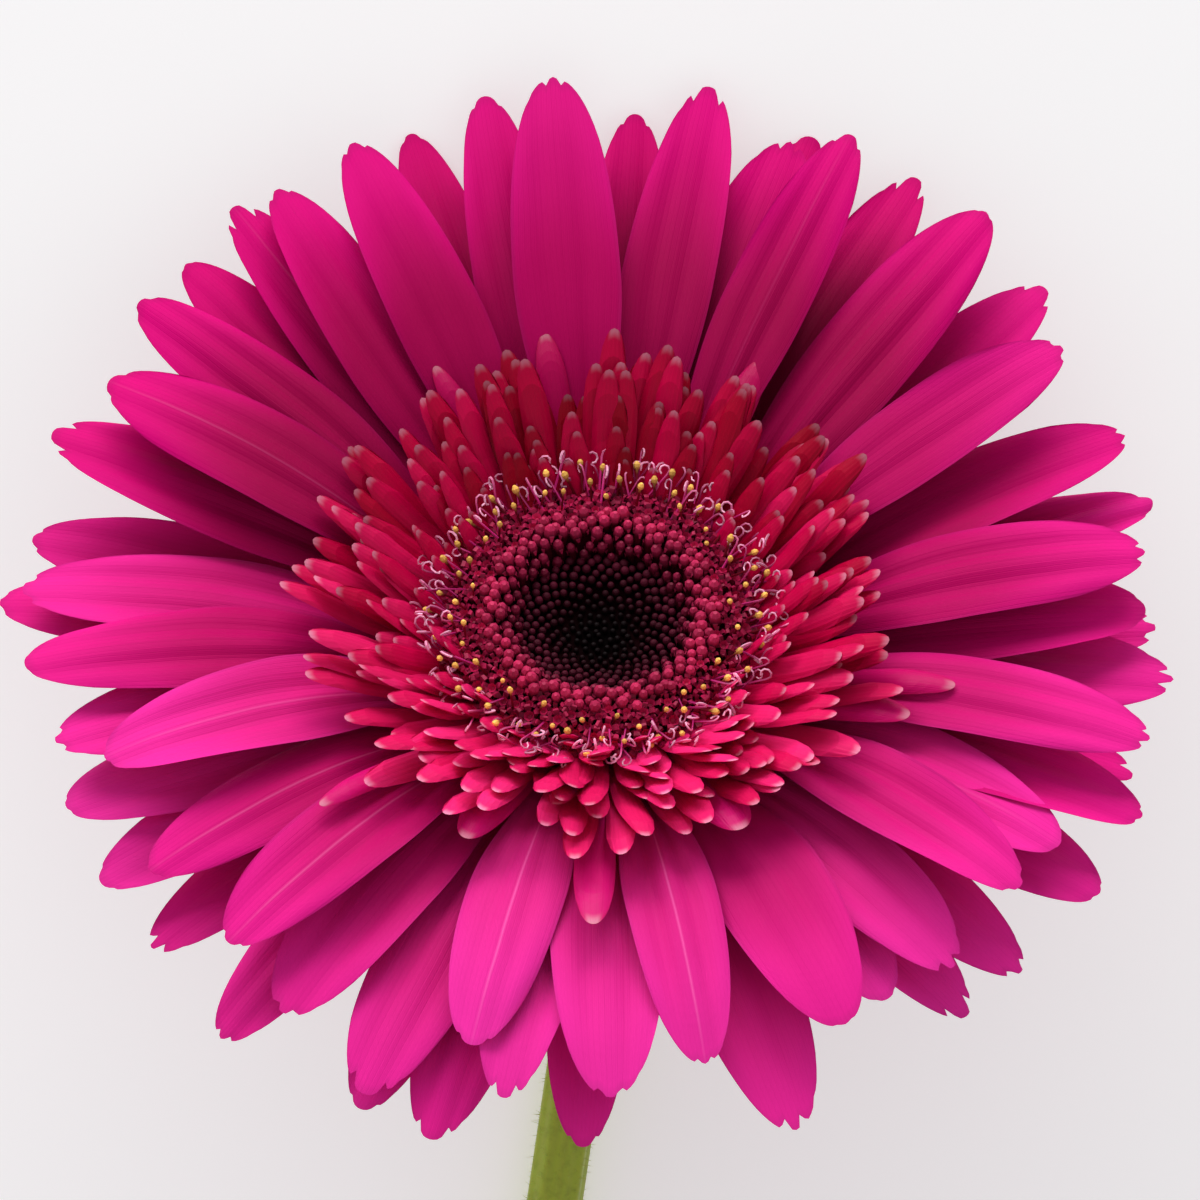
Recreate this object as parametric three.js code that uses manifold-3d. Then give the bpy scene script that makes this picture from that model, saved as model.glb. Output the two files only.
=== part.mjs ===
// A cut gerbera lying on a flat surface, in millimetres, +Z up.
// The stem lies along +Y with its cut end towards -Y. Near the head it bends up, so the head faces up and away
// from the stem and leans on the ray petals of its far side. The head is built in a frame of its own, with +Z
// along its axis, +Y towards the far side and Z = 0 where the florets sit on the receptacle.
import * as THREE from "three";
import Module from "manifold-3d";
import { mergeVertices } from "three/addons/utils/BufferGeometryUtils.js";

const wasm = await Module();
wasm.setup();

// Driving dimensions
const HEAD_RADIUS = 56; // from the head's axis to the tips of the longest ray petals
const HEAD_LEAN = 40; // degrees between the head's axis and the vertical
const STEM_LENGTH = 300; // along the stem's centre line, cut end to receptacle
const STEM_RADIUS = 2.75; // just below the head
const CUT_END_RADIUS = 3.4;
const STEM_DRIFT = 2.2; // how far the bend under the head leans to one side
const STEM_SWAY = 0.075; // sideways bow of the straight part, as a share of its length
const GAP = 0.3; // between pieces that touch

// Receptacle, the fleshy button that everything grows from
const RECEPTACLE_RADIUS = 9.3;
const RECEPTACLE_DEPTH = 12;

// Ray petals
const RAY_WIDTH = 9.6;
const RAY_THICKNESS = 0.6;
const RAY_BASE_WIDTH = 1.9;
const RAY_TIP_WIDTH = 0.14; // share of the full width that is left at the very tip
const RAY_WIDEST = 0.6; // share of its length at which a ray petal is widest
const RAY_ROWS = 6; // rows of ray petals down the receptacle's side
const ROW_GAP_AT_BASE = 0.55; // free height between one row's roots and the next
const ROW_STEP_AT_BASE = RAY_THICKNESS + ROW_GAP_AT_BASE;
const ROW_STEP_AT_TIP = 1.7;
const RAY_TIP_HEIGHT = 10.2; // of the middle rows, above the receptacle
const FAR_SIDE_LIFT = 6; // the surface pushes the far petals up, and the near ones hang by as much
const RAY_STATIONS = 9;
const RECEPTACLE_WALL = RAY_ROWS * ROW_STEP_AT_BASE - 0.1; // height of its side, where the ray petals are set

// Ray petals of each row, top row first: azimuth in degrees, reach and width as shares of the full ones
const RAY_TABLE = [
  ["front", [
    [4, 0.91, 1.05], [29, 0.9, 0.95], [63, 0.975, 0.9], [94.5, 1, 1.1], [116.5, 0.965, 0.95],
    [155, 0.92, 1.1], [201.5, 0.865, 1], [226, 0.87, 0.98], [255.5, 0.83, 0.95], [281, 0.855, 0.9],
    [320.5, 0.865, 0.9], [342.5, 0.94, 0.95],
  ]],
  ["front", [
    [48.5, 1, 1.08], [125, 0.965, 0.95], [144.5, 0.97, 0.95], [187, 0.96, 1.02], [214, 0.88, 0.9],
    [271, 0.885, 1.1], [296.5, 0.855, 1.12], [328.5, 0.87, 1],
  ]],
  ["middle", [
    [0, 0.91, 1], [20.5, 0.95, 0.95], [79, 1.045, 0.95], [101, 1.025, 0.9], [129.5, 1, 0.9], [161, 0.985, 1.05],
    [195, 0.93, 1], [235, 0.885, 1.08], [259.5, 0.885, 0.9], [312, 0.86, 1], [337, 0.965, 0.95],
  ]],
  ["middle", [[70, 0.99, 1.1], [137, 0.985, 0.9], [177, 0.97, 1.02], [245.5, 0.93, 1.08], [304, 0.825, 0.95]]],
  ["back", [
    [15, 0.97, 0.85], [40.5, 1.01, 1], [58, 1.045, 0.9], [86.5, 1.01, 0.85], [200, 0.94, 1.05],
    [230, 0.96, 0.9], [253, 0.95, 0.98], [289.5, 0.95, 1.08], [329, 0.95, 1.08], [353.5, 0.96, 1.02],
  ]],
  ["back", [
    [69, 1.06, 1], [108.5, 1.05, 0.85], [176.5, 1.015, 1], [208.5, 0.935, 0.95], [268, 0.91, 0.85],
    [318.5, 0.915, 0.9],
  ]],
];

// Disc florets: a funnel of open ones round a plug of closed dark buds
const OPEN_FLORETS_RADIUS = 14.6;
const OPEN_FLORETS_HEIGHT = 10.4;
const BUDS_RADIUS = 7.8;
const BUDS_HEIGHT = 8.6;
const BUDS_FLARE_HEIGHT = 4.2; // where the plug starts to widen
const FUNNEL_NECK_WALL = 1.4;

// Whorls of short florets inside the rays, outermost first. Each stands on a ring of its own on the receptacle,
// reaches past the open disc florets and climbs at an even slope, less or more steep at its foot and tip by what
// would lift it by `leave` and `arrive` over its whole length
const SHORT_FLORET_WHORLS = [
  { name: "trans_florets_outer", count: 34, past: 13.9, climb: 0.757, leave: -2.2, arrive: -5.2 },
  { name: "trans_florets_middle", count: 32, past: 8.4, climb: 0.799, leave: 0, arrive: 0 },
  { name: "trans_florets_inner", count: 30, past: 3, climb: 0.78, leave: 2.65, arrive: 8.7 },
];
const SHORT_FLORET_WIDTH = 2.9;
const SHORT_FLORET_THICKNESS = 0.7;
const SHORT_FLORET_STATIONS = 4;
const WHORL_RING_WALL = 0.9; // of the ring that joins a whorl's feet
const WHORL_RING_INSET = 0.7; // of the outermost ring from the receptacle's edge
const WHORL_RING_GAP = 0.4;
const WHORL_FOOT = 0.6; // of the outermost whorl, above the receptacle
const WHORL_FOOT_GAP = 0.2; // free height between one whorl's feet and the next

// Involucre, the cup of green bracts under the ray petals
const BRACT_COUNT = 26;
const BRACT_REACH = 19;
const BRACT_WIDTH = 3.2;
const BRACT_THICKNESS = 0.8;
const BRACT_STATIONS = 4;

const TIP_CROWDING = 0.6; // 0 spaces a petal's sections evenly, 1 crowds them most towards its tip
const SEGMENTS = 32; // round a turned piece
const STEM_SIDES = 12;
const STEM_BEND_SHARE = 0.2; // share of the stem's length that its bend takes
const BOW_TURN = 0.62; // half turns of a sine along the bowed straight part
const BEND_STEPS = 8;
const BOW_STEPS = 6;
const STEM_STEPS = 34;

const radians = THREE.MathUtils.degToRad;
const mix = THREE.MathUtils.lerp;

const PINK = 0xd0127a;
const CRIMSON = 0xa8082f;
const DARK_BUD = 0x2a0510;
const GREEN = 0x7c8a2c;
const BRACT_GREEN = 0x5f7a2b;

function material(color, roughness) {
  return new THREE.MeshStandardMaterial({ color, roughness, metalness: 0 });
}

function mesh(name, geometry, color, roughness) {
  const made = new THREE.Mesh(geometry, material(color, roughness));
  made.name = name;
  return made;
}

// A closed skin over rings of points that all have as many points, with a flat cap at each end
function loft(rings) {
  const sides = rings[0].length;
  const points = rings.flat().flatMap((p) => [p.x, p.y, p.z]);
  const faces = [];
  for (let i = 0; i < rings.length - 1; i++) {
    for (let j = 0; j < sides; j++) {
      const a = i * sides + j;
      const b = i * sides + ((j + 1) % sides);
      faces.push(a, b, b + sides, a, b + sides, a + sides);
    }
  }
  const last = (rings.length - 1) * sides;
  for (let j = 1; j < sides - 1; j++) {
    faces.push(0, j + 1, j, last, last + j, last + j + 1);
  }
  const geometry = new THREE.BufferGeometry();
  geometry.setAttribute("position", new THREE.Float32BufferAttribute(points, 3));
  geometry.setIndex(faces);
  return geometry;
}

// Height of a petal's midline at a share t of its way out: a cubic from one height and slope to another
function arch(t, span, start, leave, end, arrive) {
  const rising = t * t * (3 - 2 * t);
  return mix(start, end, rising) + span * t * (1 - t) * ((1 - t) * leave - t * arrive);
}

// One petal along +X of its own frame: thin lens sections from `from` to `to`, closer together towards the tip,
// each as flat in the middle as the share `flat` of its width, or a plain diamond with no flat
function petal({ from, to, stations, halfWidth, thickness, height, flat = 0 }) {
  const rings = [];
  for (let i = 0; i <= stations; i++) {
    const even = i / stations;
    const t = mix(even, Math.sin((even * Math.PI) / 2), TIP_CROWDING);
    const x = mix(from, to, t);
    const z = height(t);
    const w = halfWidth(t);
    const h = thickness / 2;
    const outline = flat
      ? [[-w, 0], [-w * flat, -h], [w * flat, -h], [w, 0], [w * flat, h], [-w * flat, h]]
      : [[-w, 0], [0, -h], [w, 0], [0, h]];
    rings.push(outline.map(([side, up]) => new THREE.Vector3(x, side, z + up)));
  }
  return loft(rings);
}

// Share of the full width at a share t of a ray petal's length: a narrow tube, a long blade and a round tip
function rayOutline(t) {
  const blade = mix(RAY_BASE_WIDTH / RAY_WIDTH, 1, THREE.MathUtils.smoothstep(t, 0.06, RAY_WIDEST));
  const beyond = Math.max(0, (t - RAY_WIDEST) / (1 - RAY_WIDEST));
  return Math.max(blade * Math.sqrt(1 - beyond ** 2.6), RAY_TIP_WIDTH);
}

function rayPetal(row, azimuth, reach, width) {
  const from = RECEPTACLE_RADIUS + GAP * 2;
  const to = HEAD_RADIUS * reach;
  const far = Math.sin(radians(azimuth));
  const foot = -RAY_THICKNESS - GAP - row * ROW_STEP_AT_BASE;
  const tip = RAY_TIP_HEIGHT + FAR_SIDE_LIFT * far + ((RAY_ROWS - 1) / 2 - row) * ROW_STEP_AT_TIP;
  const geometry = petal({
    from,
    to,
    stations: RAY_STATIONS,
    halfWidth: (t) => (RAY_WIDTH * width * rayOutline(t)) / 2,
    thickness: RAY_THICKNESS,
    flat: 0.45,
    height: (t) => arch(t, to - from, foot, 1, tip, -0.05 + 0.3 * far),
  });
  return geometry.rotateZ(radians(azimuth));
}

function rayPetals() {
  const group = new THREE.Group();
  const counts = {};
  RAY_TABLE.forEach(([place, rays], row) => {
    for (const [azimuth, reach, width] of rays) {
      counts[place] = (counts[place] ?? 0) + 1;
      const name = `ray_petal_${place}_${String(counts[place]).padStart(2, "0")}`;
      group.add(mesh(name, rayPetal(row, azimuth, reach, width), PINK, 0.55));
    }
  });
  return group;
}

// A turned piece from a profile of [radius, height] points, anticlockwise as seen with the axis on the left
function turned(profile) {
  const points = profile.map(([r, z]) => new THREE.Vector2(r, z));
  return new THREE.LatheGeometry(points, SEGMENTS).rotateX(Math.PI / 2);
}

function solid(geometry) {
  const bare = geometry.clone();
  bare.deleteAttribute("normal");
  bare.deleteAttribute("uv");
  const merged = mergeVertices(bare, 1e-4);
  const vertProperties = Float32Array.from(merged.attributes.position.array);
  const triVerts = Uint32Array.from(merged.index.array);
  return new wasm.Manifold(new wasm.Mesh({ numProp: 3, vertProperties, triVerts }));
}

function geometryOf(manifold) {
  const { numProp, vertProperties, triVerts } = manifold.getMesh();
  const count = vertProperties.length / numProp;
  const points = [];
  for (let i = 0; i < count; i++) {
    points.push(...vertProperties.subarray(i * numProp, i * numProp + 3));
  }
  const geometry = new THREE.BufferGeometry();
  geometry.setAttribute("position", new THREE.Float32BufferAttribute(points, 3));
  geometry.setIndex(Array.from(triVerts));
  return geometry;
}

// A whorl of florets or bracts joined at their feet by a thin ring
function whorl({ count, ringRadius, ringHeight, ringWall, ringBottom, blade, turn = 0 }) {
  const ring = [
    [ringRadius - ringWall, ringBottom],
    [ringRadius, ringBottom],
    [ringRadius, ringBottom + ringHeight],
    [ringRadius - ringWall, ringBottom + ringHeight],
    [ringRadius - ringWall, ringBottom],
  ];
  let joined = solid(turned(ring));
  for (let i = 0; i < count; i++) {
    const angle = ((i + turn) / count) * 2 * Math.PI;
    joined = joined.add(solid(petal(blade).rotateZ(angle)));
  }
  return geometryOf(joined);
}

function whorlRing(index) {
  return RECEPTACLE_RADIUS - WHORL_RING_INSET - index * (WHORL_RING_WALL + WHORL_RING_GAP);
}

function whorlFoot(index) {
  return WHORL_FOOT + index * (SHORT_FLORET_THICKNESS + WHORL_FOOT_GAP);
}

// Height of a whorl's florets at a distance from the axis
function whorlHeight(index, distance) {
  const { past, climb, leave, arrive } = SHORT_FLORET_WHORLS[index];
  const foot = whorlFoot(index);
  const from = whorlRing(index) - WHORL_RING_WALL / 2;
  const span = OPEN_FLORETS_RADIUS + past - from;
  const share = (distance - from) / span;
  return arch(share, span, foot, climb + leave / span, foot + climb * span, climb + arrive / span);
}

function shortFlorets({ count, past }, index) {
  const ring = whorlRing(index);
  const from = ring - WHORL_RING_WALL / 2;
  const reach = OPEN_FLORETS_RADIUS + past;
  return whorl({
    count,
    turn: index / 2,
    ringRadius: ring,
    ringHeight: SHORT_FLORET_THICKNESS * 2,
    ringWall: WHORL_RING_WALL,
    ringBottom: whorlFoot(index) - SHORT_FLORET_THICKNESS / 2,
    blade: {
      from,
      to: reach,
      stations: SHORT_FLORET_STATIONS,
      halfWidth: (t) => (SHORT_FLORET_WIDTH / 2) * mix(ring / 25, 1, Math.sin(Math.PI * Math.min(t * 0.75, 0.62))),
      thickness: SHORT_FLORET_THICKNESS,
      height: (t) => whorlHeight(index, mix(from, reach, t)),
    },
  });
}

// The funnel's neck stands inside the innermost whorl's ring, and the plug stands inside the neck
const FUNNEL_NECK_RADIUS = whorlRing(SHORT_FLORET_WHORLS.length - 1) - WHORL_RING_WALL - GAP;
const FUNNEL_BORE_RADIUS = FUNNEL_NECK_RADIUS - FUNNEL_NECK_WALL;

function openFlorets() {
  const r = OPEN_FLORETS_RADIUS;
  const h = OPEN_FLORETS_HEIGHT;
  const clear = SHORT_FLORET_THICKNESS / 2 + GAP;
  const under = (distance) => whorlHeight(SHORT_FLORET_WHORLS.length - 1, distance) + clear;
  return turned([
    [FUNNEL_BORE_RADIUS, GAP * 3],
    [FUNNEL_NECK_RADIUS, GAP * 3],
    [FUNNEL_NECK_RADIUS, BUDS_FLARE_HEIGHT - 0.3],
    [FUNNEL_NECK_RADIUS + 0.5, BUDS_FLARE_HEIGHT + 0.2],
    [r * 0.72, Math.max(h * 0.74, under(r * 0.72))],
    [r, Math.max(h * 0.92, under(r))],
    [r * 0.86, h],
    [BUDS_RADIUS + 1.1, h],
    [BUDS_RADIUS + GAP, BUDS_HEIGHT - 1.2],
    [FUNNEL_BORE_RADIUS, BUDS_FLARE_HEIGHT - 0.2],
    [FUNNEL_BORE_RADIUS, GAP * 3],
  ]);
}

function buds() {
  return turned([
    [0, GAP * 3],
    [FUNNEL_BORE_RADIUS - GAP, GAP * 3],
    [FUNNEL_BORE_RADIUS - GAP, BUDS_FLARE_HEIGHT],
    [BUDS_RADIUS - GAP, BUDS_HEIGHT - 1.2],
    [BUDS_RADIUS * 0.8, BUDS_HEIGHT],
    [0, BUDS_HEIGHT - 0.8],
  ]);
}

function receptacle() {
  const collar = -RECEPTACLE_DEPTH + 1.6;
  return turned([
    [0, -RECEPTACLE_DEPTH],
    [STEM_RADIUS + 0.2, -RECEPTACLE_DEPTH],
    [STEM_RADIUS + 1.4, collar],
    [RECEPTACLE_RADIUS * 0.86, mix(collar, -RECEPTACLE_WALL, 0.61)],
    [RECEPTACLE_RADIUS, -RECEPTACLE_WALL],
    [RECEPTACLE_RADIUS, -0.4],
    [RECEPTACLE_RADIUS - 0.6, 0],
    [0, 0],
  ]);
}

// The bracts start on the receptacle's flank and lie close under the lowest ray petals
function involucre() {
  const foot = -RECEPTACLE_DEPTH + 1.2;
  const ring = STEM_RADIUS + 2.6;
  const from = ring - 0.5;
  return whorl({
    count: BRACT_COUNT,
    ringRadius: ring,
    ringHeight: BRACT_THICKNESS,
    ringWall: 0.8,
    ringBottom: foot - BRACT_THICKNESS / 2,
    blade: {
      from,
      to: BRACT_REACH,
      stations: BRACT_STATIONS,
      halfWidth: (t) => (BRACT_WIDTH / 2) * Math.max(0.12, Math.sin(Math.PI * mix(0.12, 0.97, t))),
      thickness: BRACT_THICKNESS,
      height: (t) => arch(t, BRACT_REACH - from, foot, 0.15, -3.2, 1),
    },
  });
}

function headGroup() {
  const head = new THREE.Group();
  head.add(mesh("receptacle", receptacle(), GREEN, 0.7));
  head.add(mesh("involucre_bracts", involucre(), BRACT_GREEN, 0.75));
  SHORT_FLORET_WHORLS.forEach((row, index) => {
    head.add(mesh(row.name, shortFlorets(row, index), CRIMSON, 0.5));
  });
  head.add(mesh("disc_florets_open", openFlorets(), CRIMSON, 0.6));
  head.add(mesh("disc_florets_buds", buds(), DARK_BUD, 0.6));
  head.add(rayPetals());
  head.rotation.x = -radians(HEAD_LEAN);
  return head;
}

// How far the group's lowest point lies below its own origin
function dropBelowOrigin(group) {
  group.updateMatrixWorld(true);
  return -new THREE.Box3().setFromObject(group, true).min.z;
}

// The stem's centre line, from the receptacle down the bend and back along the surface, swaying a little
function stemPath(neckTop, bendAngle) {
  const radiusAfterBend = mix(STEM_RADIUS, CUT_END_RADIUS, STEM_BEND_SHARE);
  const fall = neckTop.z - radiusAfterBend;
  const bendRadius = fall / (1 - Math.cos(bendAngle));
  const points = [];
  for (let i = 0; i <= BEND_STEPS; i++) {
    const a = bendAngle * (1 - i / BEND_STEPS);
    const along = bendRadius * (Math.sin(bendAngle) - Math.sin(a));
    const drift = STEM_DRIFT * (i / BEND_STEPS) ** 2;
    const z = neckTop.z - bendRadius * (Math.cos(a) - Math.cos(bendAngle));
    points.push(new THREE.Vector3(neckTop.x - drift, neckTop.y - along, z));
  }
  const straight = STEM_LENGTH - bendRadius * bendAngle;
  const bendEnd = points[points.length - 1];
  for (let i = 1; i <= BOW_STEPS; i++) {
    const share = i / BOW_STEPS;
    const sway = STEM_SWAY * straight * Math.sin(share * Math.PI * BOW_TURN);
    const z = mix(bendEnd.z, CUT_END_RADIUS, share);
    points.push(new THREE.Vector3(bendEnd.x - sway, bendEnd.y - straight * share, z));
  }
  return new THREE.CatmullRomCurve3(points, false, "centripetal");
}

function stem(path) {
  const rings = [];
  const up = new THREE.Vector3(1, 0, 0);
  for (let i = 0; i <= STEM_STEPS; i++) {
    const t = i / STEM_STEPS;
    const centre = path.getPointAt(t);
    const along = path.getTangentAt(t);
    const side = up.clone().cross(along).normalize();
    const across = along.clone().cross(side).normalize();
    const radius = mix(STEM_RADIUS, CUT_END_RADIUS, t);
    const ring = [];
    for (let j = 0; j < STEM_SIDES; j++) {
      const a = (j / STEM_SIDES) * 2 * Math.PI;
      const point = centre.clone();
      point.addScaledVector(across, radius * Math.cos(a));
      point.addScaledVector(side, -radius * Math.sin(a));
      ring.push(point);
    }
    rings.push(ring);
  }
  return loft(rings);
}

const flower = new THREE.Group();
const head = headGroup();
head.position.z = dropBelowOrigin(head);
flower.add(head);

const axis = new THREE.Vector3(0, Math.sin(radians(HEAD_LEAN)), Math.cos(radians(HEAD_LEAN)));
const neckTop = head.position.clone().addScaledVector(axis, -RECEPTACLE_DEPTH - GAP);
flower.add(mesh("stem", stem(stemPath(neckTop, radians(90 - HEAD_LEAN))), GREEN, 0.6));

// The origin is on the surface, under the middle of the whole flower
flower.updateMatrixWorld(true);
const box = new THREE.Box3().setFromObject(flower, true);
flower.position.set(-(box.min.x + box.max.x) / 2, -(box.min.y + box.max.y) / 2, -box.min.z);

export default flower;
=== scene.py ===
import math

import bpy
import numpy as np
from mathutils import Matrix, Vector


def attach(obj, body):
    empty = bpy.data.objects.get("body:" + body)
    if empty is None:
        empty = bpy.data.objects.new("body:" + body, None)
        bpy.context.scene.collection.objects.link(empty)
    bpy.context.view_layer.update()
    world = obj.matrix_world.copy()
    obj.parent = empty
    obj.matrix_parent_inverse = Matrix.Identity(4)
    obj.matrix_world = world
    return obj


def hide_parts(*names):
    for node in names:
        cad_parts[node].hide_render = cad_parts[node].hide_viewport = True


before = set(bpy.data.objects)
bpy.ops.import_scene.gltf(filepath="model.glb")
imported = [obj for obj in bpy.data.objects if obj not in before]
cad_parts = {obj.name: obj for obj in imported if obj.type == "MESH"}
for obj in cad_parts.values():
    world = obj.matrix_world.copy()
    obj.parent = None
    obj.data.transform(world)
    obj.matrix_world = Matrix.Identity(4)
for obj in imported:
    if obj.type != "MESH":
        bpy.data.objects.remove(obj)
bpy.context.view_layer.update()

# ---------------------------------------------------------------------------------------------------------
# Stem. The scape is one leafless, faintly ribbed green stalk, firm right through and downy outside.
# It is cut across at its lower end, bends up under the head and swells a little where it meets it.

MM = 0.001
STEM_CORNERS = 12  # corners round each section of the stem's solid
STEM_RIBS = 9
STEM_RIB_DEPTH = 0.035  # share of the radius
STEM_SWELLS_FROM = 0.955  # share of the length
STEM_SWELLING = 0.16  # share of the radius
HAIR_LENGTH = 0.75 * MM
HAIR_ROOT = 0.028 * MM
HAIR_TIP = 0.004 * MM
HAIR_LEAN = 0.5  # radians at most
HAIRS_PER_AREA = 1.1e6  # on a square metre
CRISP_ANGLE = 1.15  # edges that bend by more than this stay crisp


class Term:
    """A number, vector or geometry inside a node tree. Numbers and vectors take part in arithmetic."""

    def __init__(self, tree, socket):
        self.tree = tree
        self.socket = socket

    def beside(self, label):
        return Term(self.tree, open_socket(self.socket.node.outputs, label))

    def __add__(self, other):
        return reckon("ADD", self, other)

    def __sub__(self, other):
        return reckon("SUBTRACT", self, other)

    def __rsub__(self, other):
        return reckon("SUBTRACT", other, self)

    def __truediv__(self, other):
        return reckon("DIVIDE", self, other)

    def __pow__(self, other):
        return reckon("POWER", self, other)

    def __mul__(self, other):
        if is_vector(self) and not is_vector(other):
            return reckon("SCALE", self, other)
        if is_vector(other) and not is_vector(self):
            return reckon("SCALE", other, self)
        return reckon("MULTIPLY", self, other)

    __radd__ = __add__
    __rmul__ = __mul__


def is_vector(value):
    return isinstance(value, Term) and value.socket.type == "VECTOR"


def open_socket(sockets, label):
    if isinstance(label, int):
        return sockets[label]
    return next(s for s in sockets if s.name == label and s.enabled)


def plug(tree, place, value):
    for one in value if isinstance(value, list) else [value]:
        if isinstance(one, Term):
            tree.links.new(one.socket, place)
        else:
            place.default_value = one


def reckon(operation, *values):
    """One step of arithmetic in a node tree"""
    tree = next(v.tree for v in values if isinstance(v, Term))
    vectors = any(is_vector(v) for v in values)
    node = tree.nodes.new("ShaderNodeVectorMath" if vectors else "ShaderNodeMath")
    node.operation = operation
    places = [node.inputs[0], node.inputs[3]] if operation == "SCALE" else node.inputs
    for place, value in zip(places, values):
        plug(tree, place, value)
    return Term(tree, next(s for s in node.outputs if s.enabled))


def ramp(value, low, high, start=0.0, end=1.0):
    """Eases from start to end while the value goes from low to high"""
    node = value.tree.nodes.new("ShaderNodeMapRange")
    node.interpolation_type = "SMOOTHSTEP"
    plugs = {"Value": value, "From Min": low, "From Max": high, "To Min": start, "To Max": end}
    for label, one in plugs.items():
        plug(value.tree, open_socket(node.inputs, label), one)
    return Term(value.tree, node.outputs["Result"])


def bell(value, width):
    """1 where the value is 0, and close to 0 past twice the width"""
    share = value / width
    return reckon("EXPONENT", share * share * -1.0)


class Nodes:
    """A node tree that is written one node at a time"""

    def __init__(self, tree):
        self.tree = tree

    def add(self, kind, plugs=None, give=0, **settings):
        node = self.tree.nodes.new(kind)
        for setting, value in settings.items():
            setattr(node, setting, value)
        for label, value in (plugs or {}).items():
            plug(self.tree, open_socket(node.inputs, label), value)
        return Term(self.tree, open_socket(node.outputs, give))


class Recipe(Nodes):
    """A geometry node tree with named inputs, which grows a piece from a guide mesh"""

    KINDS = {float: "Float", int: "Int", tuple: "Vector", type(None): "Material"}

    def __init__(self, name, **inputs):
        super().__init__(bpy.data.node_groups.new(name, "GeometryNodeTree"))
        face = self.tree.interface
        face.new_socket("guide", in_out="INPUT", socket_type="NodeSocketGeometry")
        for label, value in inputs.items():
            kind = f"NodeSocket{self.KINDS[type(value)]}"
            made = face.new_socket(label, in_out="INPUT", socket_type=kind)
            if value is not None:
                made.default_value = value
        face.new_socket("grown", in_out="OUTPUT", socket_type="NodeSocketGeometry")
        self.given = self.tree.nodes.new("NodeGroupInput")

    def __getitem__(self, label):
        return Term(self.tree, self.given.outputs[label])

    def random(self, low, high, seed):
        plugs = {"Min": low, "Max": high, "Seed": seed}
        return self.add("FunctionNodeRandomValue", plugs, give="Value", data_type="FLOAT")

    def remember(self, geometry, label, value, domain="POINT"):
        kind = "FLOAT_VECTOR" if is_vector(value) else "FLOAT"
        plugs = {"Geometry": geometry, "Name": label, "Value": value}
        return self.add("GeometryNodeStoreNamedAttribute", plugs, data_type=kind, domain=domain)

    def finish(self, geometry):
        real = self.add("GeometryNodeRealizeInstances", {"Geometry": geometry})
        bend = self.add("GeometryNodeInputMeshEdgeAngle", give="Unsigned Angle")
        rim = reckon("GREATER_THAN", bend, CRISP_ANGLE)
        plugs = {"Geometry": real, "Selection": rim, "Shade Smooth": False}
        real = self.add("GeometryNodeSetShadeSmooth", plugs, domain="EDGE")
        coated = self.add("GeometryNodeSetMaterial", {"Geometry": real, "Material": self["skin"]})
        self.tree.links.new(coated.socket, self.tree.nodes.new("NodeGroupOutput").inputs["grown"])


def placed(name, data):
    """A new object in the scene"""
    made = bpy.data.objects.new(name, data)
    bpy.context.scene.collection.objects.link(made)
    return made


def grow(name, guide, recipe, **sizes):
    """Runs a recipe on a guide mesh and keeps what grows as a plain mesh, placed by its own vertices"""
    host = placed(f"{name}_guide", guide)
    grower = host.modifiers.new("grower", "NODES")
    grower.node_group = recipe.tree
    for item in recipe.tree.interface.items_tree:
        if item.in_out == "INPUT" and item.name in sizes:
            value = sizes[item.name]
            grower[item.identifier] = float(value) if isinstance(value, np.floating) else value
    grown = host.evaluated_get(bpy.context.evaluated_depsgraph_get())
    mesh = bpy.data.meshes.new_from_object(grown)
    bpy.data.objects.remove(host)
    mesh.name = name
    return placed(name, mesh)


def guide_line(points):
    mesh = bpy.data.meshes.new("guide")
    mesh.from_pydata([tuple(p) for p in points], [(i, i + 1) for i in range(len(points) - 1)], [])
    return mesh


def corners(node):
    """Every corner of a solid once"""
    points = np.array([v.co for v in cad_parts[node].data.vertices])
    return np.unique(points.round(6), axis=0)


def joined(name, pieces):
    """Several pieces made one object"""
    with bpy.context.temp_override(active_object=pieces[0], selected_editable_objects=pieces):
        bpy.ops.object.join()
    pieces[0].name = name
    pieces[0].data.name = name
    return pieces[0]


def shader_group(name, inputs, outputs):
    """An effect that several finishes share: a shader node group with named inputs and outputs"""
    tree = bpy.data.node_groups.new(name, "ShaderNodeTree")
    for label, value in inputs.items():
        kind = "Color" if isinstance(value, tuple) else "Float"
        made = tree.interface.new_socket(label, in_out="INPUT", socket_type=f"NodeSocket{kind}")
        made.default_value = value
    for label, kind in outputs.items():
        tree.interface.new_socket(label, in_out="OUTPUT", socket_type=f"NodeSocket{kind}")
    nodes = Nodes(tree)
    given = tree.nodes.new("NodeGroupInput")
    result = tree.nodes.new("NodeGroupOutput")
    return nodes, {s.name: Term(tree, s) for s in given.outputs if s.name}, result


def blend_colours(nodes, share, first, second):
    plugs = {"Factor": share, "A": first, "B": second}
    return nodes.add("ShaderNodeMix", plugs, give="Result", data_type="RGBA")


def remembered(nodes, label, give="Vector"):
    """What a recipe remembered on the surface"""
    return nodes.add("ShaderNodeAttribute", give=give, attribute_name=label)


def noise(nodes, place, scale, detail=3.0, roughness=0.5):
    plugs = {"Vector": place, "Scale": scale, "Detail": detail, "Roughness": roughness}
    return nodes.add("ShaderNodeTexNoise", plugs, give="Fac")


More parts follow.
